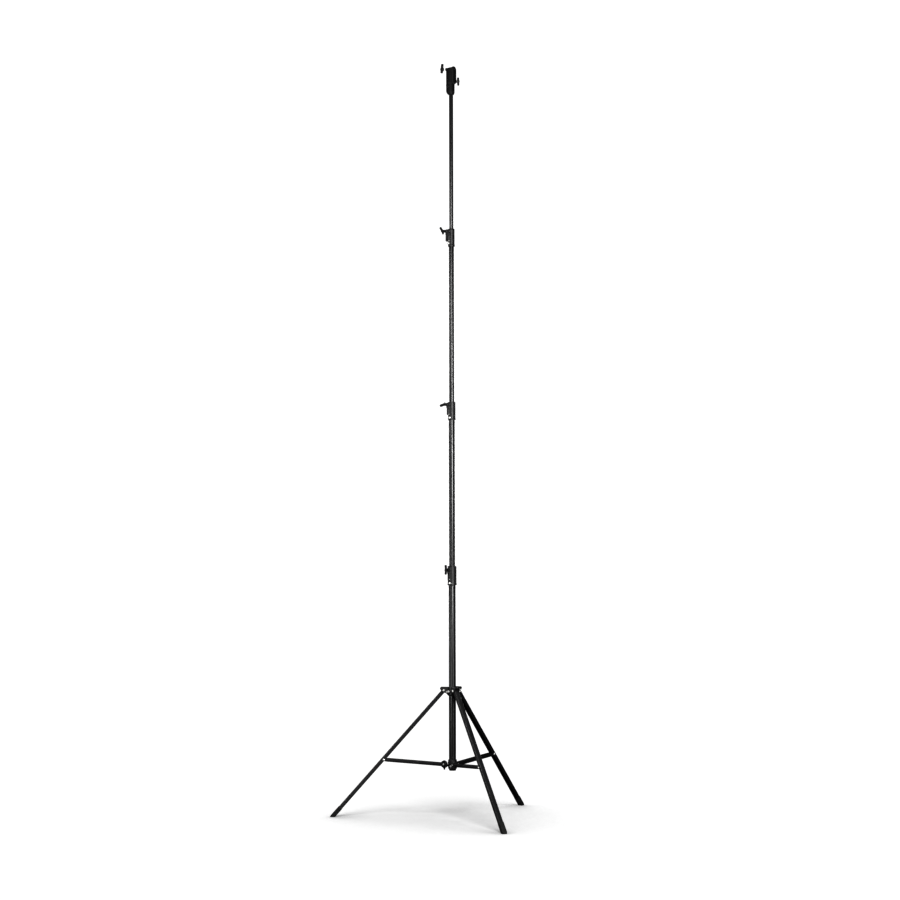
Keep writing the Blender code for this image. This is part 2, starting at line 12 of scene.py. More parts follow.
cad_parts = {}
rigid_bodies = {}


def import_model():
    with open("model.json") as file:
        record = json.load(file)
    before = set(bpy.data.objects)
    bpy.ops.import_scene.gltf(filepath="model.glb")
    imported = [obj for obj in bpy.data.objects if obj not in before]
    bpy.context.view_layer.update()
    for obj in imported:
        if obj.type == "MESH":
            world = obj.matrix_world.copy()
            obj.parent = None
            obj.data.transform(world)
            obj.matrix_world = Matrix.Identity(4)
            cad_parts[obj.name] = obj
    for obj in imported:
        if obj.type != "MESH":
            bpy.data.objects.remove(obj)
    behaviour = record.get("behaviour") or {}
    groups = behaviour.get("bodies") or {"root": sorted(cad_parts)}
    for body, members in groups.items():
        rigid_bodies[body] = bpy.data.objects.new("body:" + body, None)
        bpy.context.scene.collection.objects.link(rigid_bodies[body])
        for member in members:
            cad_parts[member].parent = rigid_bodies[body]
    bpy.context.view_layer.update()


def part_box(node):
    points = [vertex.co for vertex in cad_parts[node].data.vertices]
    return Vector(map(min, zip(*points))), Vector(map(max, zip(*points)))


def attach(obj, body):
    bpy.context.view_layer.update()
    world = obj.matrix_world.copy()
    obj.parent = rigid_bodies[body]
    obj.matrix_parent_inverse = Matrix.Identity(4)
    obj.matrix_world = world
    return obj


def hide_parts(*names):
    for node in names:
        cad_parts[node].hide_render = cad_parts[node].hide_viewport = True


for _obj in list(bpy.data.objects):
    bpy.data.objects.remove(_obj, do_unlink=True)

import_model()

_low, _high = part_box("base_tube")
AXIS = Vector(((_low.x + _high.x) / 2, (_low.y + _high.y) / 2, 0.0))

# ---- dimensions, in millimetres, as in the CAD ----
TUBE_OD = (35.0, 30.0, 25.0, 20.0)
TUBE_ID = (32.0, 27.4, 22.4, 17.0)
TUBE_LOW = (246.0, 1110.0, 1958.0, 2831.0)
TUBE_TOP = (1241.0, 2068.0, 2941.0, 3699.0)
CLAMP_LOW = (1175.0, 2007.0, 2881.0)
CLAMP_TOP = (1271.0, 2098.0, 2971.0)
CLAMP_R = (22.0, 18.6, 16.0)
CLAMP_RIB = (29.0, 28.6, 31.0)
RIB_LOW = (26.0, 26.0, 30.2)
LEVER_Z = (1251.2, 2085.0, 2957.5)
LEVER_AZ = (-48.0, -60.0, -63.0)
LEVER_ROLL = (0.0, 104.0, 44.0)
LEVER_OUT = (0.0, 4.0, 7.0)
LEVER_BEND = (1.5, 6.5, 2.5)
FIX_AZ = (-29.0, -29.0, -44.0)
FIX_UP = (10.5, 11.5, 16.0)
LEG_AZ = (24.0, -96.0, 144.0)
LEG_ANGLE = math.radians(41.49)
LEG_W, LEG_D, LEG_WALL = 23.0, 19.0, 1.8
HUB_R, HUB_Z = 42.4, 645.0
LEG_UP, LEG_LEN = 8.5, 846.0
FLOOR_LEN = HUB_Z / math.cos(LEG_ANGLE)
EAR_IN, EAR_OUT = 12.1, 15.1
COLLAR_R, COLLAR_Z = 29.0, 270.0
BRACE_LEN = 319.2
BRACE_RISE = math.radians(4.06)
ARM_IN, ARM_OUT, ARM_H = 12.1, 14.6, 16.0
KNOB_AZ, KNOB_Z = -45.0, 277.0
CROWN_KNOB_AZ = 204.0
CROWN_SCREW_AZ = (-36.0, 84.0)
HEAD_SCREW_Z = (3774.0, 3714.0)

ROUND = 96          # facets round a tube
BOSS = 48           # round a boss
FINE = 36           # round a screw
WORLD_FILL = 0.25
VOXEL = 0.8        # grain of the castings' surfaces, millimetres


# ---- shapes ----
def lathe(profile, segs, ring=True):
    bm = bmesh.new()
    loops = []
    for radius, height in profile:
        if radius < 1e-6:
            loops.append([bm.verts.new((0.0, 0.0, height))])
            continue
        turn = [2 * math.pi * i / segs for i in range(segs)]
        loops.append([bm.verts.new((radius * math.cos(a), radius * math.sin(a), height)) for a in turn])
    pairs = list(zip(loops, loops[1:]))
    if ring:
        pairs.append((loops[-1], loops[0]))
    for low, high in pairs:
        for i in range(segs):
            j = (i + 1) % segs
            if len(low) == 1 and len(high) > 1:
                bm.faces.new((low[0], high[j], high[i]))
            elif len(high) == 1 and len(low) > 1:
                bm.faces.new((low[i], low[j], high[0]))
            elif len(low) > 1:
                bm.faces.new((low[i], low[j], high[j], high[i]))
    bmesh.ops.recalc_face_normals(bm, faces=bm.faces)
    return bm


def eased(points, radius, closed=True, steps=3):
    """Rounds the corners of a flat outline."""
    out = []
    count = len(points)
    for i, here in enumerate(points):
        if not closed and i in (0, count - 1):
            out.append(here)
            continue
        before, after = points[i - 1], points[(i + 1) % count]
        a = (before[0] - here[0], before[1] - here[1])
        b = (after[0] - here[0], after[1] - here[1])
        la, lb = math.hypot(*a), math.hypot(*b)
        if la < 1e-6 or lb < 1e-6:
            continue
        reach = min(radius, la * 0.45, lb * 0.45)
        p = (here[0] + a[0] / la * reach, here[1] + a[1] / la * reach)
        q = (here[0] + b[0] / lb * reach, here[1] + b[1] / lb * reach)
        for k in range(steps + 1):
            t = k / steps
            out.append(tuple((1 - t) ** 2 * p[c] + 2 * t * (1 - t) * here[c] + t * t * q[c] for c in (0, 1)))
    return out


def turned(profile, segs, ring=True, ease=0.5, steps=3):
    return lathe(eased(profile, ease, closed=ring, steps=steps), segs, ring)


def loft(rings):
    bm = bmesh.new()
    loops = [[bm.verts.new(p) for p in ring] for ring in rings]
    count = len(loops[0])
    for low, high in zip(loops, loops[1:]):
        for i in range(count):
            j = (i + 1) % count
            bm.faces.new((low[i], low[j], high[j], high[i]))
    bm.faces.new(loops[0][::-1])
    bm.faces.new(loops[-1])
    bmesh.ops.recalc_face_normals(bm, faces=bm.faces)
    return bm


def prism(outline, low, high, plane="xy"):
    order = {"xy": lambda a, b, d: (a, b, d), "xz": lambda a, b, d: (a, d, b), "yz": lambda a, b, d: (d, a, b)}[plane]
    return loft([[order(a, b, d) for a, b in outline] for d in (low, high)])


def soft_prism(outline, low, high, plane="xy", edge=0.5):
    """A prism whose end faces have a small rounded edge."""
    order = {"xy": lambda a, b, d: (a, b, d), "xz": lambda a, b, d: (a, d, b), "yz": lambda a, b, d: (d, a, b)}[plane]
    count = len(outline)
    area = sum(outline[i][0] * outline[(i + 1) % count][1] - outline[(i + 1) % count][0] * outline[i][1] for i in range(count))
    sign = 1.0 if area > 0 else -1.0

    def shrink(by):
        out = []
        for i in range(count):
            p, q, r = outline[i - 1], outline[i], outline[(i + 1) % count]
            e1 = Vector((q[0] - p[0], q[1] - p[1])).normalized()
            e2 = Vector((r[0] - q[0], r[1] - q[1])).normalized()
            n1, n2 = Vector((-e1.y, e1.x)) * sign, Vector((-e2.y, e2.x)) * sign
            n = n1 + n2
            n = n / max(0.35, n.length_squared / 2) if n.length > 1e-6 else n1
            out.append((q[0] + n.x * by, q[1] + n.y * by))
        return out

    stations = [(low, edge), (low + edge * 0.3, edge * 0.3), (low + edge, 0.0), (high - edge, 0.0), (high - edge * 0.3, edge * 0.3), (high, edge)]
    return loft([[order(a, b, d) for a, b in shrink(by)] for d, by in stations])


def box(low, high):
    return prism([(low[0], low[1]), (high[0], low[1]), (high[0], high[1]), (low[0], high[1])], low[2], high[2])


def rounded_rect(half_a, half_b, radius, steps):
    points = []
    for k, (sa, sb) in enumerate(((1, 1), (-1, 1), (-1, -1), (1, -1))):
        for i in range(steps + 1):
            angle = math.radians(90 * k + 90 * i / steps)
            points.append((sa * (half_a - radius) + radius * math.cos(angle), sb * (half_b - radius) + radius * math.sin(angle)))
    return points


def arc(centre, radius, start, end, steps):
    turn = [math.radians(start + (end - start) * i / steps) for i in range(steps + 1)]
    return [(centre[0] + radius * math.cos(a), centre[1] + radius * math.sin(a)) for a in turn]


def moved(bm, matrix):
    bmesh.ops.transform(bm, matrix=matrix, verts=bm.verts)
    return bm


def turn_z(degrees):
    return Matrix.Rotation(math.radians(degrees), 4, "Z")


def along_x(bm, x=0.0, y=0.0, z=0.0):
    return moved(bm, Matrix.Translation((x, y, z)) @ Matrix.Rotation(math.pi / 2, 4, "Y"))


def along_y(bm, x=0.0, y=0.0, z=0.0):
    return moved(bm, Matrix.Translation((x, y, z)) @ Matrix.Rotation(-math.pi / 2, 4, "X"))


def rod(radius, low, high, segs=None):
    return lathe([(0, low), (radius, low), (radius, high), (0, high)], segs or BOSS, ring=False)


def dome_rod(radius, low, high, ease=0.8, segs=None):
    return turned([(0, low), (radius, low), (radius, high), (0, high)], segs or BOSS, ring=False, ease=ease)


def temp(bm):
    mesh = bpy.data.meshes.new("work")
    bm.to_mesh(mesh)
    bm.free()
    obj = bpy.data.objects.new("work", mesh)
    bpy.context.scene.collection.objects.link(obj)
    return obj


def baked(obj):
    graph = bpy.context.evaluated_depsgraph_get()
    result = bpy.data.meshes.new_from_object(obj.evaluated_get(graph))
    out = bmesh.new()
    out.from_mesh(result)
    bpy.data.meshes.remove(result)
    return out


def drop(*objs):
    for obj in objs:
        mesh = obj.data
        bpy.data.objects.remove(obj, do_unlink=True)
        bpy.data.meshes.remove(mesh)


def boolean(body, tool, operation):
    a, b = temp(body), temp(tool)
    modifier = a.modifiers.new("work", "BOOLEAN")
    modifier.operation = operation
    modifier.solver = "EXACT"
    modifier.object = b
    out = baked(a)
    drop(a, b)
    bmesh.ops.remove_doubles(out, verts=out.verts, dist=2e-4)
    bmesh.ops.dissolve_degenerate(out, dist=2e-4, edges=out.edges)
    return out


def join(body, *tools):
    for tool in tools:
        body = boolean(body, tool, "UNION")
    return body


def cut(body, *tools):
    for tool in tools:
        body = boolean(body, tool, "DIFFERENCE")
    return body


def cast(bm, voxel=None, passes=7, keep=0.4):
    """Gives a joined shape the soft fillets of a casting: a fine even grid over it, relaxed and thinned."""
    obj = temp(bm)
    remesh = obj.modifiers.new("grid", "REMESH")
    remesh.mode = "VOXEL"
    remesh.voxel_size = voxel or VOXEL
    relax = obj.modifiers.new("relax", "SMOOTH")
    relax.factor = 0.5
    relax.iterations = passes
    thin = obj.modifiers.new("thin", "DECIMATE")
    thin.ratio = keep
    out = baked(obj)
    drop(obj)
    return out


# ---- placing ----
COLUMN = Matrix.Translation(AXIS)


def radial(azimuth):
    return COLUMN @ Matrix.Rotation(math.radians(azimuth - 90), 4, "Z")


def at(place, x, y, z):
    return place @ Matrix.Translation(Vector((x, y, z)) * 0.001)


MATERIALS = {}


def piece(name, bm, finish, matrix, body, replaced=(), sharp=38.0):
    moved(bm, Matrix.Scale(0.001, 4))
    mesh = bpy.data.meshes.new(name)
    bm.to_mesh(mesh)
    bm.free()
    mesh.materials.append(MATERIALS[finish])
    mesh.shade_smooth()
    mesh.set_sharp_from_angle(angle=math.radians(sharp))
    obj = bpy.data.objects.new(name, mesh)
    bpy.context.scene.collection.objects.link(obj)
    obj.matrix_world = matrix
    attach(obj, body)
    if replaced:
        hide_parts(*([replaced] if isinstance(replaced, str) else replaced))
    return obj


def node(tree, kind, **inputs):
    made = tree.nodes.new(kind)
    for key, value in inputs.items():
        made.inputs[key.replace("_", " ")].default_value = value
    return made


def ranged(tree, source, low, high, out_low, out_high):
    made = tree.nodes.new("ShaderNodeMapRange")
    for index, value in ((1, low), (2, high), (3, out_low), (4, out_high)):
        made.inputs[index].default_value = value
    tree.links.new(source, made.inputs[0])
    return made.outputs[0]


def mix_colour(tree, factor, a, b):
    made = tree.nodes.new("ShaderNodeMix")
    made.data_type = "RGBA"
    for index, value in ((6, a), (7, b)):
        if hasattr(value, "links"):
            tree.links.new(value, made.inputs[index])
        else:
            made.inputs[index].default_value = (*value, 1.0)
    tree.links.new(factor, made.inputs[0])
    return made.outputs[2]


def noise(tree, coords, scale, detail=4.0, roughness=0.55, stretch=None):
    if stretch:
        mapping = tree.nodes.new("ShaderNodeMapping")
        mapping.inputs["Scale"].default_value = stretch
        tree.links.new(coords, mapping.inputs["Vector"])
        coords = mapping.outputs["Vector"]
    made = node(tree, "ShaderNodeTexNoise", Scale=scale, Detail=detail, Roughness=roughness)
    tree.links.new(coords, made.inputs["Vector"])
    return made.outputs["Fac"]


def multiply(tree, a, b, operation="MULTIPLY"):
    made = tree.nodes.new("ShaderNodeMath")
    made.operation = operation
    for index, value in ((0, a), (1, b)):
        if hasattr(value, "links"):
            tree.links.new(value, made.inputs[index])
        else:
            made.inputs[index].default_value = value
    return made.outputs[0]


def edge_mask(tree, radius, low, high):
    """How sharply the surface bends here: 0 on a flat, 1 along a worn edge."""
    bevel = tree.nodes.new("ShaderNodeBevel")
    bevel.samples = 4
    bevel.inputs["Radius"].default_value = radius
    geometry = tree.nodes.new("ShaderNodeNewGeometry")
    dot = tree.nodes.new("ShaderNodeVectorMath")
    dot.operation = "DOT_PRODUCT"
    tree.links.new(bevel.outputs["Normal"], dot.inputs[0])
    tree.links.new(geometry.outputs["Normal"], dot.inputs[1])
    return ranged(tree, dot.outputs["Value"], low, high, 1.0, 0.0)


def finish(name, dark, light, rough, metallic, specular=0.5, blotch=22.0, grain=None, stretch=None, bump=0.0, bump_scale=900.0, bump_stretch=None,
           distance=0.0002, wear=None, wear_colour=(0.32, 0.32, 0.33), wear_rough=0.3, specks=0.0, coat=0.0):
    mat = bpy.data.materials.new(name)
    mat.use_nodes = True
    tree = mat.node_tree
    shader = tree.nodes["Principled BSDF"]
    coords = tree.nodes.new("ShaderNodeTexCoord").outputs["Object"]
    large = noise(tree, coords, blotch, 5.0, 0.6)
    fine = noise(tree, coords, grain or 260.0, 3.0, 0.6, stretch)
    tone = multiply(tree, ranged(tree, large, 0.3, 0.7, 0.0, 0.65), ranged(tree, fine, 0.3, 0.7, 0.0, 0.35), "ADD")
    colour = mix_colour(tree, tone, dark, light)
    roughness = multiply(tree, ranged(tree, large, 0.3, 0.7, rough[0], rough[1]), ranged(tree, fine, 0.35, 0.65, -0.025, 0.035), "ADD")
    if specks:
        dust = ranged(tree, noise(tree, coords, 1900.0, 2.0, 0.5), 0.66, 0.74, 0.0, specks)
        colour = mix_colour(tree, dust, colour, (0.16, 0.16, 0.165))
    if wear:
        mask = edge_mask(tree, wear[0], 0.90, 0.985)
        patchy = ranged(tree, noise(tree, coords, 160.0, 5.0, 0.7), 0.44, 0.62, 0.0, wear[1])
        worn = multiply(tree, mask, patchy)
        colour = mix_colour(tree, worn, colour, wear_colour)
    tree.links.new(colour, shader.inputs["Base Color"])
    tree.links.new(roughness, shader.inputs["Roughness"])
    shader.inputs["Metallic"].default_value = metallic
    shader.inputs["Specular IOR Level"].default_value = specular
    if coat:
        shader.inputs["Coat Weight"].default_value = coat
        shader.inputs["Coat Roughness"].default_value = 0.25
    if bump:
        height = noise(tree, coords, bump_scale, 3.0, 0.55, bump_stretch)
        relief = tree.nodes.new("ShaderNodeBump")
        relief.inputs["Strength"].default_value = bump
        relief.inputs["Distance"].default_value = distance
        tree.links.new(height, relief.inputs["Height"])
        tree.links.new(relief.outputs["Normal"], shader.inputs["Normal"])
    MATERIALS[name] = mat
    return mat


def make_finishes():
    # extruded tube: fine lines along its length under a satin black skin
    finish("tube", (0.0060, 0.0060, 0.0064), (0.0125, 0.0125, 0.0132), (0.31, 0.345), 0.10, specular=0.80, blotch=9.0, grain=420.0, stretch=(1, 1, 0.02),
           bump=0.010, bump_scale=520.0, bump_stretch=(1, 1, 0.015), distance=0.0002, wear=(0.0008, 0.10), specks=0.004)
    # the folded struts are drawn along their own length
    finish("strut", (0.0060, 0.0060, 0.0064), (0.0125, 0.0125, 0.0132), (0.31, 0.345), 0.10, specular=0.80, blotch=9.0, grain=420.0, stretch=(0.02, 1, 1),
           bump=0.010, bump_scale=520.0, bump_stretch=(0.015, 1, 1), distance=0.0002, wear=(0.0008, 0.10), specks=0.004)
    # casting under textured paint
    finish("cast", (0.0050, 0.0050, 0.0052), (0.0105, 0.0105, 0.0110), (0.42, 0.54), 0.0, specular=0.55, blotch=45.0, grain=700.0, bump=0.22, bump_scale=1150.0,
           distance=0.0002, wear=(0.0012, 0.30), specks=0.03)
    # a darker copy of the casting paint for the head, with a flatter coat: painted shade, the top of the stand lying
    # darker in the light
    finish("cast_painted_shade", (0.0032, 0.0032, 0.0034), (0.0066, 0.0066, 0.0069), (0.48, 0.60), 0.0, specular=0.26, blotch=45.0, grain=700.0, bump=0.16, bump_scale=1150.0,
           distance=0.0002, wear=(0.0012, 0.30), specks=0.02)
    finish("moulded", (0.0045, 0.0045, 0.0045), (0.0095, 0.0095, 0.0098), (0.42, 0.54), 0.0, specular=0.24, blotch=60.0, grain=800.0, bump=0.12, bump_scale=1500.0, distance=0.00012)
    finish("nylon", (0.040, 0.040, 0.041), (0.075, 0.075, 0.077), (0.48, 0.6), 0.0, blotch=70.0, grain=500.0, bump=0.1, bump_scale=1200.0, distance=0.0001)
    finish("rubber", (0.0050, 0.0050, 0.0050), (0.014, 0.014, 0.0135), (0.62, 0.82), 0.0, specular=0.35, blotch=60.0, grain=600.0, bump=0.35, bump_scale=850.0, distance=0.00025, specks=0.08)
    finish("steel", (0.56, 0.56, 0.55), (0.80, 0.80, 0.78), (0.24, 0.38), 0.6, blotch=180.0, grain=900.0, bump=0.06, bump_scale=1500.0, distance=0.0001)


# ---- parts ----
def tube(index):
    inner, outer = TUBE_ID[index] / 2, TUBE_OD[index] / 2
    low, top = TUBE_LOW[index], TUBE_TOP[index]
    return turned([(inner, low), (outer, low), (outer, top), (inner, top)], ROUND, ease=0.5)


def clamp_body(index):
    low, top, radius, rib = CLAMP_LOW[index], CLAMP_TOP[index], CLAMP_R[index], CLAMP_RIB[index]
    tube_r, riser_r = TUBE_OD[index] / 2, TUBE_OD[index + 1] / 2
    lever_z = LEVER_Z[index]
    sleeve = lathe([(0.0, low), (radius + 1.0, low), (radius + 1.0, low + 7.0), (radius, low + 10.0),
                    (radius, top - 3.0), (radius - 1.5, top), (0.0, top)], ROUND, ring=False)
    rib_top = min(lever_z + 11.0, top - 4.0)
    deep = RIB_LOW[index]
    outline = [(6, low + 24), (deep - 2.0, low + 25.5), (deep, low + 28.5), (deep, lever_z - 20), (rib, lever_z - 14), (rib, rib_top - 4), (rib - 4, rib_top), (6, rib_top)]
    wall = prism(outline, -5.8, 5.8, "xz")
    boss = along_x(rod(9.5 if index == 0 else 8.5, 6.0, rib + 0.9), z=lever_z)
    turn = math.radians(FIX_AZ[index] - LEVER_AZ[index])
    spot = Matrix.Rotation(turn, 4, "Z")
    foot = moved(along_x(rod(7.8, 6.0, radius + 3.3), z=low + FIX_UP[index]), spot)
    body = join(sleeve, wall, boss, foot)
    # a shallow panel in each flank of the rib
    near, far, foot_z, head_z = radius + 2.6, deep - 2.4, low + 31.0, lever_z - 24.0
    if far - near > 2.0:
        panel = eased([(near, foot_z), (far, foot_z), (far, head_z), (near, head_z)], 2.0)
        for side in (-1, 1):
            body = cut(body, prism(panel, min(side * 4.4, side * 9.0), max(side * 4.4, side * 9.0), "xz"))
    body = cast(body)
    bore = turned([(0, low - 5), (tube_r + 0.3, low - 5), (tube_r + 0.3, top - 4.3), (0, top - 4.3)], ROUND, ring=False, ease=0.2)
    lip = lathe([(0, top - 8), (riser_r + 0.5, top - 8), (riser_r + 0.5, top - 0.9), (riser_r + 2.2, top + 0.8), (0, top + 0.8)], ROUND, ring=False)
    thread = moved(along_x(rod(4.4, riser_r + 1.0, rib + 12), z=lever_z), Matrix.Rotation(0.004, 4, "Z"))
    seat = along_x(lathe([(0, rib + 0.55), (6.6, rib + 0.55), (6.6, rib + 8), (0, rib + 8)], BOSS, ring=False), z=lever_z)
    flat = moved(along_x(rod(6.7, radius + 2.95, radius + 9), z=low + FIX_UP[index]), spot)
    fixing = moved(along_x(rod(2.9, tube_r - 6.0, radius + 12), z=low + FIX_UP[index]), Matrix.Rotation(turn + 0.003, 4, "Z"))
    return cut(body, bore, lip, thread, seat, flat, fixing)


def cross_recess(size, depth, face):
    arms = join(box((-size, -size * 0.24, face - depth), (size, size * 0.24, face + 3)), box((-size * 0.24, -size, face - depth), (size * 0.24, size, face + 3)))
    return arms


def pan_screw(shank_r, head_r, tip, seat, height):
    """Domed head with a cross recess, on a threaded shank."""
    profile = [(0, tip), (shank_r - 0.5, tip)]
    z = tip + 0.5
    while z < seat - 1.2:
        profile += [(shank_r, z), (shank_r - 0.45, z + 0.4)]
        z += 0.8
    profile += [(shank_r, seat - 0.6), (shank_r, seat), (head_r - 0.3, seat), (head_r, seat + 0.3), (head_r, seat + height * 0.45),
                (head_r * 0.93, seat + height * 0.72), (head_r * 0.72, seat + height * 0.92), (head_r * 0.4, seat + height), (0, seat + height)]
    body = lathe(profile, FINE, ring=False)
    return cut(body, cross_recess(head_r * 0.52, height * 0.5, seat + height))


def thread_screw(tip, end, radius=4.0, pitch=1.25, chamfer=0.9):
    """A turned screw whose threads are rings a pitch apart."""
    profile = [(0, tip), (radius - chamfer, tip), (radius - 0.35, tip + chamfer)]
    x = tip + chamfer + 0.2
    while x < end - pitch - 0.8:
        profile += [(radius, x + pitch * 0.2), (radius, x + pitch * 0.35), (radius - 0.62, x + pitch * 0.8), (radius - 0.62, x + pitch * 0.9)]
        x += pitch
    profile += [(radius - 0.3, end - 0.5), (radius - 0.7, end), (0, end)]
    return along_x(lathe(profile, FINE, ring=False))


def wing(face, up, down, width, thick, bend, lean, taper, hub_r, hub_len, bore_r, bore_len):
    """A moulded wing handle: hub and two thumb pads with rounded ends."""
    hub = along_x(turned([(0, 0), (hub_r, 0), (hub_r * 0.94, hub_len - 2.6), (hub_r * 0.6, hub_len), (0, hub_len)], BOSS, ring=False, ease=1.2), x=face)
    rings = []
    stations = 28
    for k in range(stations + 1):
        s = -down + (up + down) * k / stations
        t = abs(s / (up if s > 0 else down))
        end = math.sqrt(max(0.0, 1 - max(0.0, (t - 0.82) / 0.18) ** 2 * 0.62))
        w = width * (1.0 - 0.16 * t + (0.10 * t if s > 0 else 0.0)) * end
        w *= 1.0 - 0.16 * math.exp(-((t - 0.36) / 0.16) ** 2)
        h = thick * (1.0 - taper * t) * (0.6 + 0.4 * end)
        x = face + hub_len - thick * 0.62 + bend * t * t + lean * s
        rings.append([(x + a, b, s) for a, b in rounded_rect(h / 2, w / 2, min(h, w) * 0.42, 5)])
    body = join(hub, loft(rings))
    body = cast(body, voxel=(0.55), passes=4, keep=0.5)
    return cut(body, along_x(rod(bore_r, face - 4, face + bore_len)))


def knob(face, radius, length, bore_r, bore_len, lobes=8, depth=1.8, tab=0.0):
    """A lobed hand knob with a dished face, narrowing at the back round its screw."""
    per = 12
    rings = []
    for x, scale in ((0.0, 0.62), (0.5, 0.70), (2.2, 0.93), (3.4, 0.985), (4.6, 1.0), (length - 3.2, 1.0), (length - 1.6, 0.975), (length - 0.6, 0.92),
                     (length - 0.05, 0.84), (length, 0.76)):
        ring = []
        for i in range(lobes * per):
            angle = 2 * math.pi * i / (lobes * per)
            r = (radius - depth * (0.5 - 0.5 * math.cos(lobes * angle)) ** 1.4) * scale
            ring.append((face + x, r * math.cos(angle), r * math.sin(angle)))
        rings.append(ring)
    dish = along_x(turned([(0, 0), (radius * 0.5, 0), (radius * 0.62, 3), (0, 3)], BOSS, ring=False, ease=0.3), x=face + length - 1.1)
    body = loft(rings)
    if tab:
        outline = eased([(-3.2, -tab), (3.2, -tab), (3.6, -radius + 5.0), (-3.6, -radius + 5.0)], 2.2, steps=5)
        body = join(body, soft_prism([(b, c) for b, c in outline], face + 4.2, face + length - 4.2, "yz", 0.8))
    return cut(body, along_x(rod(bore_r, face - 4, face + bore_len)), dish)


def bush(index):
    low = TUBE_LOW[index]
    flange, spigot = TUBE_ID[index - 1] / 2 - 0.3, TUBE_ID[index] / 2 - 0.3
    return turned([(0, low - 8), (flange - 1.0, low - 8), (flange, low - 7), (flange, low - 5.2), (flange - 0.7, low - 4.9), (flange - 0.7, low - 3.6),
                   (flange, low - 3.3), (flange, low - 0.3), (spigot, low - 0.3), (spigot, low + 12), (0, low + 12)], ROUND, ring=False, ease=0.3)


def leg_channel():
    d, w, t, c = LEG_D / 2, LEG_W / 2, LEG_WALL, 2.6
    outer = [(-d, w)] + arc((d - c, w - c), c, 90, 0, 8) + arc((d - c, -w + c), c, 0, -90, 8) + [(-d, -w)]
    inner = [(-d, -w + t)] + arc((d - c, -w + c), c - t, -90, 0, 5) + arc((d - c, w - c), c - t, 0, 90, 5) + [(-d, w - t)]
    outline = outer + inner
    stations = [-LEG_LEN, -LEG_LEN + 0.3, LEG_UP - 0.3, LEG_UP]
    steps = [-LEG_LEN + 12 + k * (LEG_LEN - 12) / 24 for k in range(24)]
    rings = [[(a, b, s) for a, b in outline] for s in [stations[0], stations[1]] + steps + [stations[2], stations[3]]]
    channel = loft(rings)
    # the top end is rounded where it turns between the crown's cheeks
    corner = prism([(3.0, LEG_UP + 4)] + arc((LEG_D / 2 - 6.0, LEG_UP - 6.0), 6.0, 90, 0, 10) + [(LEG_D / 2 + 4, 2.0), (LEG_D / 2 + 4, LEG_UP + 4)], -20, 20, "xz")
    return cut(channel, along_y(rod(3.4, -20, 20, FINE)), corner)


def foot_cap():
    rings = []
    stations = [(799.0, 0.955), (799.6, 0.985), (800.8, 1.0), (806.0, 1.0)]
    for k in range(4):
        s = 808.0 + k * 5.0
        stations += [(s, 1.0), (s + 0.5, 0.955), (s + 1.5, 0.955), (s + 2.0, 1.0)]
    stations += [(828.0, 1.0), (853.0, 1.0), (857.0, 0.985), (860.0, 0.95), (863.0, 0.90), (865.5, 0.82), (867.4, 0.70), (868.5, 0.6)]
    for s, scale in stations:
        rings.append([(a, b, -s) for a, b in rounded_rect(11.0 * scale, 13.0 * scale, 3.6 * scale, 7)])
    cap = loft(rings)
    a, b = LEG_D / 2 + 0.3, LEG_W / 2 + 0.3
    cap = cut(cap, box((-a, -b, -LEG_LEN - 0.6), (a, b, -780.0)))
    normal = Vector((math.sin(LEG_ANGLE), 0.0, math.cos(LEG_ANGLE)))
    floor = Vector((0.0, 0.0, -FLOOR_LEN))
    result = bmesh.ops.bisect_plane(cap, geom=cap.verts[:] + cap.edges[:] + cap.faces[:], plane_co=floor, plane_no=-normal, clear_outer=True, dist=1e-5)
    edges = [e for e in result["geom_cut"] if isinstance(e, bmesh.types.BMEdge)]
    bmesh.ops.edgeloop_fill(cap, edges=edges)
    bmesh.ops.recalc_face_normals(cap, faces=cap.faces)
    return cap


def brace_bar():
    h, end = ARM_H / 2, 7.0
    side = arc((0, 0), end, 250, 110, 16) + [(22, h), (BRACE_LEN - 20, h)] + arc((BRACE_LEN, 0), end, 70, -70, 16) + [(BRACE_LEN - 20, -h), (22, -h)]
    side = eased(side, 0.8, steps=2)
    near = soft_prism(side, ARM_IN, ARM_OUT, "xz", 0.35)
    far = soft_prism(side, -ARM_OUT, -ARM_IN, "xz", 0.35)
    web = [(34, -ARM_OUT + 0.6), (34, -8), (44, 0), (34, 8), (34, ARM_OUT - 0.6), (190, ARM_OUT - 0.6), (190, 8), (180, 0), (190, -8), (190, -ARM_OUT + 0.6)]
    web = prism(eased(web, 6.0, steps=6), h - 2.2, h - 0.2)
    bar = join(near, web, far)
    return cut(bar, along_y(rod(2.8, -20, 20, FINE)), along_y(rod(2.8, -20, 20, FINE), x=BRACE_LEN))


def brace_rivet(side):
    shape = along_y(turned([(0, 11.85), (2.4, 11.85), (2.4, 14.9), (6.0, 14.9), (6.0, 15.5), (4.8, 16.6), (2.6, 17.4), (0, 17.6)], FINE, ring=False, ease=0.5))
    if side < 0:
        moved(shape, Matrix.Rotation(math.pi, 4, "Z"))
    return shape


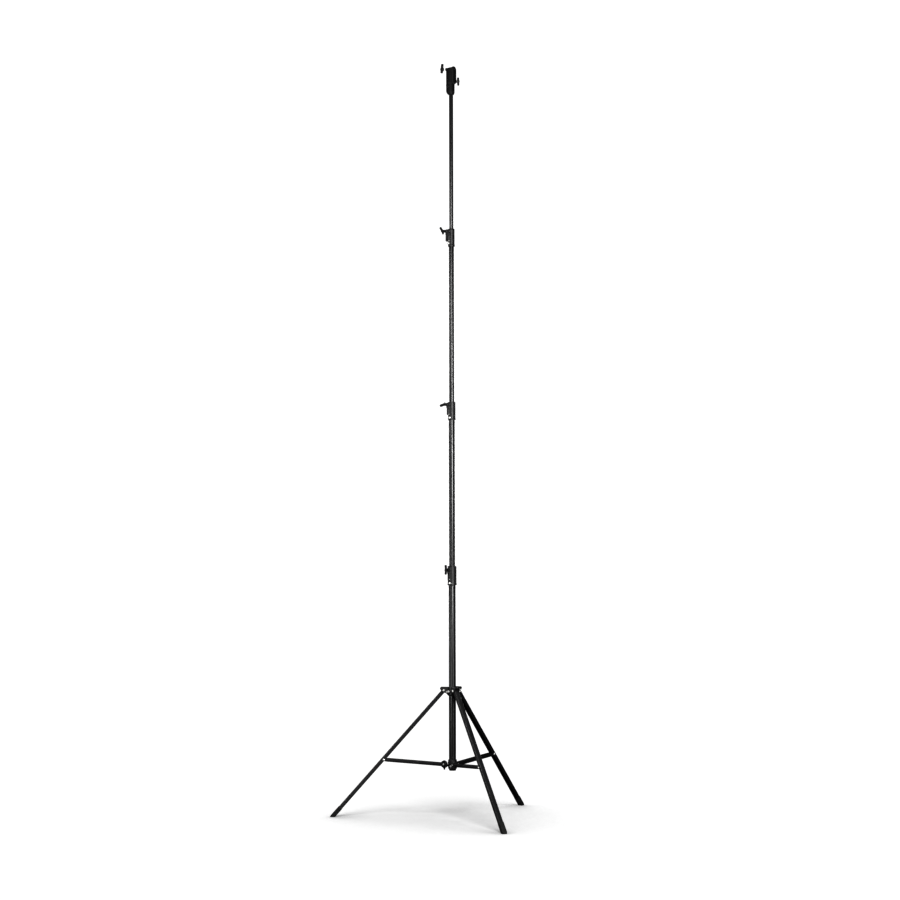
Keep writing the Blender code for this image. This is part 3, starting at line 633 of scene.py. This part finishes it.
def crown_casting():
    hub = lathe([(0, 619), (23.0, 619), (26.0, 624), (26.0, 657), (24.5, 661.3), (0, 661.3)], ROUND, ring=False)
    z = HUB_Z
    cheek = [(21.0, z - 21), (26.5, z - 19), (31, z - 12), (45, z - 12), (51, z - 7), (61, z + 7), (61.5, z + 12), (58, z + 16.5), (21.0, z + 16)]
    cheek = eased(cheek, 3.0, steps=4)
    for azimuth in LEG_AZ:
        turn = turn_z(azimuth - 90)
        for block in (prism(cheek, EAR_IN, EAR_OUT, "xz"), prism(cheek, -EAR_OUT, -EAR_IN, "xz"),
                      prism([(21.0, z + 13.2), (58.6, z + 13.2), (59.8, z + 14.4), (57.7, z + 16.2), (21.0, z + 15.7)], -EAR_IN - 1.0, EAR_IN + 1.0, "xz"),
                      along_y(rod(8.4, 12.1, 15.4), x=HUB_R, z=z), along_y(rod(8.4, -15.4, -12.1), x=HUB_R, z=z)):
            hub = join(hub, moved(block, turn))
    for azimuth in CROWN_SCREW_AZ:
        hub = join(hub, moved(along_x(rod(7.5, 21.0, 32.1), z=640), turn_z(azimuth - 90)))
    hub = join(hub, moved(along_x(rod(9.5, 21.0, 34.0), z=640), turn_z(CROWN_KNOB_AZ - 90)))
    hub = cast(hub, passes=4)
    hub = cut(hub, turned([(0, 600), (19.8, 600), (19.8, 700), (0, 700)], ROUND, ring=False, ease=0.1))
    for azimuth in LEG_AZ:
        gap = soft_prism(eased([(27.3, z - 40), (90, z - 40), (90, z + 13.0), (27.3, z + 13.0)], 2.0), -EAR_IN, EAR_IN, "xz", 0.2)
        hub = cut(hub, moved(gap, turn_z(azimuth - 90)))
        hub = cut(hub, moved(along_y(rod(3.4, -24, 24, FINE), x=HUB_R, z=HUB_Z), turn_z(azimuth - 90)))
    for azimuth, bore in ((CROWN_SCREW_AZ[0], 3.3), (CROWN_SCREW_AZ[1], 3.3), (CROWN_KNOB_AZ, 4.4)):
        hub = cut(hub, moved(along_x(rod(bore, 15, 45, FINE), z=640), turn_z(azimuth - 90)))
    return hub


def leg_bolt():
    """Round head with a hex socket on one side, a dome nut on the other."""
    body = turned([(0, -21.0), (2.6, -21.0), (3.0, -20.6), (3.0, -19.2), (6.2, -19.2), (6.2, -15.5), (3.0, -15.5), (3.0, 15.5), (5.8, 15.5), (5.8, 17.8),
                   (3.4, 20.0), (0, 20.0)], FINE, ring=False, ease=0.4)
    socket = lathe([(0, 17.6), (2.3, 17.6), (2.3, 24), (0, 24)], 6, ring=False)
    nut = lathe([(0, -19.2), (9, -19.2), (9, -15.3), (0, -15.3)], 6, ring=False)
    return along_y(cut(boolean(body, join(lathe([(0, -15.6), (9, -15.6), (9, 30), (0, 30)], 24, ring=False), moved(nut, Matrix.Scale(0.72, 4, (1, 0, 0)) @ Matrix.Scale(0.72, 4, (0, 1, 0))),
                       lathe([(0, -30), (3.2, -30), (3.2, -19.0), (0, -19.0)], 24, ring=False)), "INTERSECT"), socket))


def collar():
    ring = lathe([(0, 250.3), (22.0, 250.3), (22.0, 294.5), (20.4, 296.3), (0, 296.3)], ROUND, ring=False)
    z = COLLAR_Z
    lug = [(19.5, z - 9.5), (26.0, z - 7.5), (32.2, z - 6.7), (32.2, z + 6.7), (26.0, z + 8.5), (19.5, z + 16)]
    nose = [(19.5, z - 7.0), (26.0, z - 7.2)] + arc((COLLAR_R, z), 7.5, -70, 70, 14) + [(26.0, z + 8.0), (19.5, z + 14)]
    for azimuth in LEG_AZ:
        ring = join(ring, moved(prism(lug, -11.6, 11.6, "xz"), turn_z(azimuth - 90)), moved(prism(nose, -9.2, 9.2, "xz"), turn_z(azimuth - 90)))
    turn = turn_z(KNOB_AZ - 90)
    ring = join(ring, moved(along_x(rod(6.0, 19.5, 33.2), z=KNOB_Z), turn))
    ring = cast(ring, passes=5)
    ring = cut(ring, turned([(0, 230), (17.8, 230), (17.8, 320), (0, 320)], ROUND, ring=False, ease=0.1), moved(along_x(rod(4.4, 10, 45, FINE), z=KNOB_Z), turn))
    for azimuth in LEG_AZ:
        ring = cut(ring, moved(along_y(rod(2.8, -20, 20, FINE), x=COLLAR_R, z=COLLAR_Z), turn_z(azimuth - 90)))
    return cut(ring, moved(along_x(rod(2.9, 10, 40, FINE), z=264.0), turn_z(-24.0 - 90)))


def brace_pin():
    return along_y(turned([(0, -17.2), (3.0, -17.2), (4.4, -16.4), (4.4, -14.9), (2.4, -14.9), (2.4, 14.9), (4.4, 14.9), (4.4, 16.4), (3.0, 17.2), (0, 17.2)], FINE, ring=False, ease=0.4))


def head_casting():
    turn = [2 * math.pi * i / ROUND for i in range(ROUND)]

    def ring(cx, radius, z):
        return [(cx + radius * math.cos(a), radius * math.sin(a), z) for a in turn]

    shell = loft([ring(0.0, 14.2, 3646.0), ring(-1.2, 17.0, 3650.0), ring(-2.6, 20.2, 3657.0), ring(-3.2, 21.1, 3664.0), ring(-3.2, 21.1, 3699.5),
                  ring(-1.0, 22.8, 3701.0), ring(1.1, 25.4, 3706.5), ring(1.1, 25.4, 3800.0)])
    lid = [(-40, 3600), (-40, 3774.5), (-24.5, 3776.5), (-21.5, 3778.5), (3.0, 3783.0)] + arc((13.0, 3775.5), 11.5, 145, 20, 16) + [(27.5, 3768.5), (40, 3764.0), (40, 3600)]
    shell = boolean(shell, prism(lid, -40, 40, "xz"), "INTERSECT")
    front = prism([(2.3, -27.2), (13.0, -25.2), (13.0, -15), (2.3, -15)], 3704.0, 3773.5)
    left = moved(along_x(rod(7.4, 12.0, 27.3)), Matrix.Translation((0, 0, HEAD_SCREW_Z[0])) @ Matrix.Rotation(math.pi, 4, "Z"))
    right = along_x(rod(8.5, 10.0, 28.6), z=HEAD_SCREW_Z[1])
    eye = moved(along_x(rod(8.6, 8.0, 26.2), z=3690.0), turn_z(-48 - 90))
    shell = cast(join(shell, front, left, right, eye), passes=5)
    riser = turned([(0, 3630.0), (10.3, 3630.0), (10.3, 3699.6), (0, 3699.6)], ROUND, ring=False, ease=0.1)
    bores = lathe([(0, 3703.0), (8.2, 3703.0), (8.2, 3729.2), (9.0, 3730.0), (14.5, 3730.0), (14.5, 3795.0), (0, 3795.0)], ROUND, ring=False)
    shell = cut(shell, riser, bores)
    shell = cut(shell, moved(along_x(rod(4.4, 10.0, 40.0, FINE)), Matrix.Translation((0, 0, HEAD_SCREW_Z[0])) @ Matrix.Rotation(math.pi, 4, "Z")))
    shell = cut(shell, along_x(rod(4.4, 5.0, 40.0, FINE), z=HEAD_SCREW_Z[1]))
    shell = cut(shell, moved(along_x(rod(6.9, 25.7, 30.0, FINE), z=3690.0), turn_z(-48 - 90)))
    return cut(shell, moved(along_x(rod(3.0, 8.5, 40.0, FINE), z=3690.0), turn_z(-48 - 90)))


def disc_cap(radius, x, height=1.0):
    """A small plain insert in the middle of a knob or a handle, seen as the end of its screw."""
    return along_x(turned([(0, 0), (radius, 0), (radius, height), (0, height)], FINE, ring=False, ease=0.35), x=x)


def build_stand():
    piece("column_tube_1", tube(0), "tube", COLUMN, "base", "base_tube")
    piece("column_end_plug", turned([(0, 241), (16.0, 241), (17.2, 242.2), (17.2, 245.7), (15.7, 245.7), (15.7, 262), (0, 262)], ROUND, ring=False, ease=0.4), "moulded", COLUMN, "base", "base_plug")
    piece("collar_casting", collar(), "cast", COLUMN, "base", "lower_collar")
    piece("collar_screw", along_x(pan_screw(2.5, 5.5, 18.0, 22.3, 3.2)), "steel", at(radial(-24.0), 0, 0, 264.0), "base", "collar_fixing_screw")
    turn = at(radial(KNOB_AZ), 0, 0, KNOB_Z)
    piece("collar_hand_knob", knob(50.5, 19.5, 15.0, 4.3, 9.0, tab=27.0), "moulded", turn, "collar_knob", "collar_knob")
    piece("collar_hand_screw", thread_screw(18.1, 59.2), "steel", turn, "collar_knob", "collar_knob_screw")
    piece("collar_hand_insert", disc_cap(5.4, 64.45, 1.0), "steel", turn, "collar_knob")

    piece("crown", crown_casting(), "cast", COLUMN, "crown", "crown_casting")
    piece("crown_bush", turned([(17.8, 617.5), (19.5, 617.5), (19.5, 662.7), (17.8, 662.7)], ROUND, ease=0.3), "nylon", COLUMN, "crown", "crown_sleeve")
    for name, azimuth in zip("ab", CROWN_SCREW_AZ):
        screw = turned([(0, 19.9), (3.0, 19.9), (3.0, 32.3), (5.6, 32.3), (5.6, 36.2), (3.0, 36.2), (3.0, 43.5), (5.2, 43.5), (5.2, 48.5), (0, 48.5)], FINE, ring=False, ease=0.4)
        screw = cut(along_x(screw), along_x(lathe([(0, 45.5), (2.5, 45.5), (2.5, 52), (0, 52)], 6, ring=False)))
        piece("crown_bolt_" + name, screw, "steel", at(radial(azimuth), 0, 0, 640.0), "crown", "crown_screw_" + name)
    turn = at(radial(CROWN_KNOB_AZ), 0, 0, 640.0)
    piece("crown_hand_knob", knob(46.0, 18.0, 15.0, 4.3, 9.0), "moulded", turn, "crown_knob", "crown_knob")
    piece("crown_hand_screw", thread_screw(19.9, 54.7), "steel", turn, "crown_knob", "crown_knob_screw")
    piece("crown_hand_insert", disc_cap(5.4, 59.95, 1.0), "steel", turn, "crown_knob")

    for n, azimuth in enumerate(LEG_AZ, 1):
        place = radial(azimuth)
        piece(f"crown_leg_bolt_{n}", leg_bolt(), "steel", at(place, HUB_R, 0, HUB_Z), "crown", f"leg_bolt_{n}")
        tilt = at(place, HUB_R, 0, HUB_Z) @ Matrix.Rotation(-LEG_ANGLE, 4, "Y")
        piece(f"leg_bar_{n}", leg_channel(), "tube", tilt, f"leg_{n}", f"leg_{n}")
        piece(f"leg_cap_{n}", foot_cap(), "rubber", tilt, f"leg_{n}", f"leg_{n}_foot")
        rise = at(place, COLLAR_R, 0, COLLAR_Z) @ Matrix.Rotation(-BRACE_RISE, 4, "Y")
        piece(f"collar_pin_{n}", brace_pin(), "steel", at(place, COLLAR_R, 0, COLLAR_Z), "base", f"brace_pin_{n}")
        piece(f"strut_{n}", brace_bar(), "strut", rise, f"brace_{n}", f"brace_{n}")
        tip = rise @ Matrix.Translation((BRACE_LEN * 0.001, 0, 0))
        piece(f"strut_{n}_rivet_a", brace_rivet(1), "steel", tip, f"brace_{n}", f"brace_{n}_rivet_a")
        piece(f"strut_{n}_rivet_b", brace_rivet(-1), "steel", tip, f"brace_{n}", f"brace_{n}_rivet_b")

    carrier = "base"
    for k in range(3):
        n = k + 1
        tube_r, riser_r = TUBE_OD[k] / 2, TUBE_OD[n] / 2
        place = radial(LEVER_AZ[k])
        piece(f"clamp_{n}_casting", clamp_body(k), "cast", place, carrier, f"clamp_{n}_body")
        low, top = TUBE_TOP[k] + 0.3, CLAMP_TOP[k] - 4.6
        liner = turned([(riser_r + 0.3, low), (tube_r, low), (tube_r, top), (riser_r + 0.3, top)], ROUND, ease=0.3)
        piece(f"clamp_{n}_bush", liner, "nylon", COLUMN, carrier, f"clamp_{n}_liner")
        spot = at(radial(FIX_AZ[k]), 0, 0, CLAMP_LOW[k] + FIX_UP[k])
        piece(f"clamp_{n}_cross_screw", along_x(pan_screw(2.5, 6.0, tube_r + 0.5, CLAMP_R[k] + 3.5, 3.4)), "steel", spot, carrier, f"clamp_{n}_fixing_screw")
        side = at(place, CLAMP_R[k] + 1.4, 0, CLAMP_LOW[k] + 29.0)
        pin = moved(turned([(0, 5.2), (2.6, 5.2), (2.6, 6.7), (1.7, 7.4), (0, 7.5)], FINE, ring=False, ease=0.3), Matrix.Rotation(-math.pi / 2, 4, "X"))
        piece(f"clamp_{n}_rib_pin", pin, "steel", side, carrier)
        turn = at(place, 0, 0, LEVER_Z[k])
        roll = turn @ Matrix.Rotation(math.radians(LEVER_ROLL[k]), 4, "X")
        face = CLAMP_RIB[k] + 1.8
        piece(f"clamp_{n}_wing", wing(face, 26.0, 22.0, 13.5, 9.5, LEVER_BEND[k], 0.0, 0.25, 6.8, 17.2 + LEVER_OUT[k], 4.3, 7.0), "moulded", roll, f"clamp_{n}_lever", f"clamp_{n}_lever")
        piece(f"clamp_{n}_wing_screw", thread_screw(tube_r + 0.5, face + 6.6), "steel", turn, f"clamp_{n}_lever", f"clamp_{n}_screw")
        piece(f"column_bush_{n}", bush(n), "nylon", COLUMN, f"riser_{n}_bush", f"riser_{n}_bush")
        piece(f"column_tube_{n + 1}", tube(n), "tube", COLUMN, f"riser_{n}", f"riser_{n}_tube")
        carrier = f"riser_{n}"

    # the head and its cross screw take the darker copy of the casting paint: painted shade
    piece("head", head_casting(), "cast_painted_shade", COLUMN, "riser_3", "head_casting")
    piece("head_cross_screw", along_x(pan_screw(2.6, 6.2, 10.5, 26.4, 3.0)), "cast_painted_shade", at(radial(-48.0), 0, 0, 3690.0), "riser_3", "head_fixing_screw")
    turn = at(radial(-90.0), 0, 0, HEAD_SCREW_Z[0])
    piece("head_wing_upper", wing(35.5, 27.6, 19.0, 15.0, 13.5, 0.0, -0.08, 0.12, 7.4, 18.3, 4.3, 7.0), "moulded", turn, "head_upper_handle", "head_upper_handle")
    piece("head_wing_upper_screw", thread_screw(14.8, 42.1), "steel", turn, "head_upper_handle", "head_upper_screw")
    turn = at(radial(90.0), 0, 0, HEAD_SCREW_Z[1])
    piece("head_wing_lower", wing(29.8, 19.0, 21.0, 13.0, 11.0, 0.0, -0.03, 0.12, 7.2, 13.2, 4.3, 6.5), "moulded", turn, "head_lower_handle", "head_lower_handle")
    piece("head_wing_lower_screw", thread_screw(8.6, 35.9), "steel", turn, "head_lower_handle", "head_lower_screw")


# ---- stage, light, camera ----
def make_stage():
    scene = bpy.context.scene
    scene.view_settings.view_transform = "Standard"
    scene.view_settings.look = "None"
    scene.view_settings.gamma = 0.72      # the hard contrast of a product photograph
    mesh = bpy.data.meshes.new("floor")
    bm = bmesh.new()
    bmesh.ops.create_grid(bm, x_segments=1, y_segments=1, size=60.0)
    bm.to_mesh(mesh)
    bm.free()
    floor = bpy.data.objects.new("floor", mesh)
    scene.collection.objects.link(floor)
    floor.location = (0, 0, -0.0004)
    mat = bpy.data.materials.new("floor_paper_painted_shadow")
    mat.use_nodes = True
    tree = mat.node_tree
    shader = tree.nodes["Principled BSDF"]
    shader.inputs["Roughness"].default_value = 0.9
    shader.inputs["Specular IOR Level"].default_value = 0.0
    # painted shadow: ambient occlusion darkens the floor's colour under and behind the stand, standing in for the
    # stand's cast shadow
    painted_shadow_ao = tree.nodes.new("ShaderNodeAmbientOcclusion")
    painted_shadow_ao.samples = 16
    painted_shadow_ao.inputs["Distance"].default_value = 1.1
    painted_shadow_ao.inputs["Normal"].default_value = (0.24, -0.72, 0.65)
    paper_tone_with_painted_shadow = ranged(tree, painted_shadow_ao.outputs["AO"], 0.88, 0.985, 0.66, 0.95)
    paper = tree.nodes.new("ShaderNodeTexCoord").outputs["Object"]
    fibre = ranged(tree, noise(tree, paper, 30.0, 4.0, 0.6), 0.3, 0.7, 0.99, 1.01)
    paper_tone_with_painted_shadow = multiply(tree, paper_tone_with_painted_shadow, fibre)
    colour = tree.nodes.new("ShaderNodeCombineColor")
    for index in range(3):
        tree.links.new(paper_tone_with_painted_shadow, colour.inputs[index])
    tree.links.new(colour.outputs[0], shader.inputs["Base Color"])
    tree.links.new(colour.outputs[0], shader.inputs["Emission Color"])
    # the floor also glows, and its glow carries the same painted shadow
    shader.inputs["Emission Strength"].default_value = 0.42
    mesh.materials.append(mat)
    floor.visible_glossy = False      # black flags keep the white floor out of the tubes' reflections
    floor.visible_diffuse = False

    world = bpy.data.worlds.new("studio")
    scene.world = world
    world.use_nodes = True
    world.cycles.sampling_method = "NONE"
    tree = world.node_tree
    background = tree.nodes["Background"]
    path = tree.nodes.new("ShaderNodeLightPath")
    # the white room is seen by the eye; what lights the stand is the softboxes and a dim fill
    strength = multiply(tree, multiply(tree, path.outputs["Is Camera Ray"], 1.1), multiply(tree, path.outputs["Is Diffuse Ray"], WORLD_FILL), "ADD")
    tree.links.new(strength, background.inputs["Strength"])
    background.inputs["Color"].default_value = (1, 1, 1, 1)

    # the softboxes light the stand only, and the room light falls on the floor only
    stand_only = bpy.data.collections.new("lit_by_softboxes")
    stand_only.objects.link(floor)
    stand_only.collection_objects[0].light_linking.link_state = "EXCLUDE"
    floor_only = bpy.data.collections.new("lit_by_room")
    floor_only.objects.link(floor)

    def area(name, azimuth, reach, height, width, tall, power, aim=None):
        data = bpy.data.lights.new(name, "AREA")
        data.shape = "RECTANGLE"
        data.size, data.size_y, data.energy = width, tall, power
        obj = bpy.data.objects.new(name, data)
        scene.collection.objects.link(obj)
        turn = math.radians(azimuth)
        obj.location = (AXIS.x + reach * math.sin(turn), AXIS.y - reach * math.cos(turn), height)
        target = Vector((AXIS.x, AXIS.y, height if aim is None else aim))
        obj.rotation_mode = "QUATERNION"
        obj.rotation_quaternion = (target - obj.location).to_track_quat("-Z", "Y")
        obj.visible_camera = False
        obj.light_linking.receiver_collection = stand_only
        return obj

    area("soft_high", 5, 3.0, 2.9, 0.35, 0.9, 56)
    area("soft_high_left", -60, 3.0, 2.85, 0.35, 0.9, 32)
    area("soft_front", 20, 3.0, 1.90, 0.35, 1.1, 112)
    area("soft_low_left", -40, 3.0, 0.75, 0.40, 1.4, 32)
    area("soft_low_right", 35, 3.0, 0.45, 0.40, 0.8, 17)
    area("soft_side", -110, 3.0, 0.6, 0.35, 1.0, 8)
    area("soft_back_left", -150, 3.2, 1.9, 0.5, 2.6, 40)
    area("soft_back_right", 150, 3.2, 1.9, 0.5, 2.6, 40)
    area("soft_top", 20, 0.9, 5.8, 2.2, 2.2, 70, aim=0.0)

    sun = bpy.data.lights.new("room", "SUN")
    sun.energy, sun.angle = 2.2, math.radians(26)
    obj = bpy.data.objects.new("room", sun)
    scene.collection.objects.link(obj)
    obj.rotation_euler = (math.radians(48), 0, math.radians(3))
    obj.visible_glossy = False
    obj.light_linking.receiver_collection = floor_only


def make_camera():
    data = bpy.data.cameras.new("camera")
    data.sensor_width = 36.0
    data.lens = 36.0 * 2706.0 / 900.0
    data.clip_start, data.clip_end = 0.1, 200.0
    camera = bpy.data.objects.new("camera", data)
    bpy.context.scene.collection.objects.link(camera)
    roll = math.radians(-0.129)
    camera.matrix_world = Matrix.Translation((AXIS.x - 0.0092, AXIS.y - 13.64, 1.856)) @ Matrix.Rotation(math.radians(90), 4, "X") @ Matrix.Rotation(roll, 4, "Z")
    bpy.context.scene.camera = camera


make_camera()
make_finishes()
build_stand()
make_stage()
bpy.context.view_layer.update()
